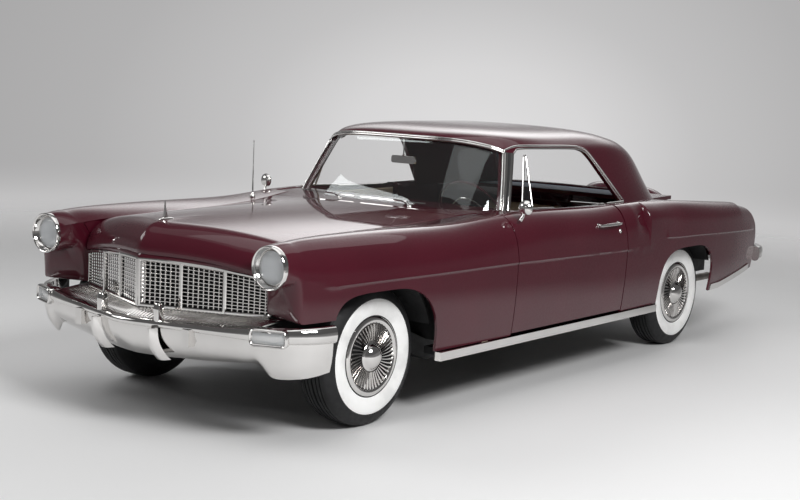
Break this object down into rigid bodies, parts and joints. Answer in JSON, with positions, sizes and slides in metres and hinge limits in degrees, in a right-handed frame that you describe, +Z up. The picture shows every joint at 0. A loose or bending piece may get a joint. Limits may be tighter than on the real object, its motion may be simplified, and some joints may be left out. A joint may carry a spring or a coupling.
{
  "type": "two-door hardtop car",
  "caption": "Full-size two-door pillarless hardtop car with opening doors, hood and deck lid, steered front wheels and free-turning wheels.",
  "frame": {"origin": "on the ground, below the middle of the car's length and width", "axes": "+Z up, -Y forward, +X to the car's left"},
  "size_m": [1.986, 5.536, 1.44],
  "materials": {
    "paint": "deep burgundy under a polished clear coat",
    "chrome": "polished",
    "underbody": "black, satin",
    "engine": "painted, dull",
    "exhaust": "dull",
    "glass": "clear",
    "red_lens": "clear red",
    "leather": "cream, satin",
    "tyre": "matt, with a white side band",
    "wheel_cover": "polished"
  },
  "bodies": {
    "body": {"frame": "underbody", "cross_members": "underbody", "floor_pan": "underbody", "wheel_housings": "underbody", "engine": "engine", "radiator": "underbody", "front_suspension": "underbody", "rear_axle": "underbody", "exhaust": "exhaust", "fuel_tank": "underbody", "front_fender_left": "paint", "front_fender_right": "paint", "rear_quarter_left": "paint", "rear_quarter_right": "paint", "cowl": "paint", "dashboard": "paint", "roof": "paint", "windshield": "glass", "rear_window": "glass", "rear_panel": "paint", "rear_shelf": "paint", "sill_mouldings": "chrome", "grille": "chrome", "front_bumper": "chrome", "rear_bumper": "chrome", "headlamps": "chrome", "tail_lamps": "red_lens", "front_seat": "leather", "rear_seat": "leather", "interior_mirror": "chrome", "antenna": "chrome"},
    "hood": {"hood": "paint"},
    "deck_lid": {"deck_lid": "paint"},
    "door_left": {"door_left": "paint", "door_trim_left": "chrome"},
    "door_right": {"door_right": "paint", "door_trim_right": "chrome"},
    "steering_wheel": {"steering_wheel": "paint"},
    "knuckle_left": {"knuckle_left": "underbody"},
    "knuckle_right": {"knuckle_right": "underbody"},
    "wheel_front_left": {"tyre_front_left": "tyre", "wheel_front_left": "wheel_cover"},
    "wheel_front_right": {"tyre_front_right": "tyre", "wheel_front_right": "wheel_cover"},
    "wheel_rear_left": {"tyre_rear_left": "tyre", "wheel_rear_left": "wheel_cover"},
    "wheel_rear_right": {"tyre_rear_right": "tyre", "wheel_rear_right": "wheel_cover"}
  },
  "joints": [
    {"name": "hood_hinge", "type": "hinge", "parent": "body", "child": "hood", "pos_m": [0, -0.974, 0.995], "axis": [-1, 0, 0], "range_deg": [0, 50]},
    {"name": "deck_lid_hinge", "type": "hinge", "parent": "body", "child": "deck_lid", "pos_m": [0, 1.5, 0.975], "axis": [1, 0, 0], "range_deg": [0, 60]},
    {"name": "door_left_hinge", "type": "hinge", "parent": "body", "child": "door_left", "pos_m": [0.972, -0.775, 0.6], "axis": [0, 0, -1], "range_deg": [0, 65]},
    {"name": "door_right_hinge", "type": "hinge", "parent": "body", "child": "door_right", "pos_m": [-0.972, -0.775, 0.6], "axis": [0, 0, 1], "range_deg": [0, 65]},
    {"name": "steering_left", "type": "hinge", "parent": "body", "child": "knuckle_left", "pos_m": [0.68, -1.883, 0.35], "axis": [0, 0, 1], "range_deg": [-30, 30]},
    {"name": "steering_right", "type": "hinge", "parent": "body", "child": "knuckle_right", "pos_m": [-0.68, -1.883, 0.35], "axis": [0, 0, 1], "range_deg": [-30, 30]},
    {"name": "steering_wheel_turn", "type": "hinge", "parent": "body", "child": "steering_wheel", "pos_m": [0.375, -0.415, 0.93], "axis": [0, 0.866, 0.5], "range_deg": [-600, 600]},
    {"name": "spin_front_left", "type": "hinge", "parent": "knuckle_left", "child": "wheel_front_left", "pos_m": [0.743, -1.883, 0.35], "axis": [1, 0, 0], "continuous": true},
    {"name": "spin_front_right", "type": "hinge", "parent": "knuckle_right", "child": "wheel_front_right", "pos_m": [-0.743, -1.883, 0.35], "axis": [1, 0, 0], "continuous": true},
    {"name": "spin_rear_left", "type": "hinge", "parent": "body", "child": "wheel_rear_left", "pos_m": [0.762, 1.317, 0.35], "axis": [1, 0, 0], "continuous": true},
    {"name": "spin_rear_right", "type": "hinge", "parent": "body", "child": "wheel_rear_right", "pos_m": [-0.762, 1.317, 0.35], "axis": [1, 0, 0], "continuous": true}
  ],
  "couplings": [
    {"joint": "steering_right", "follows": "steering_left", "ratio": 1},
    {"joint": "steering_wheel_turn", "follows": "steering_left", "ratio": 20}
  ]
}
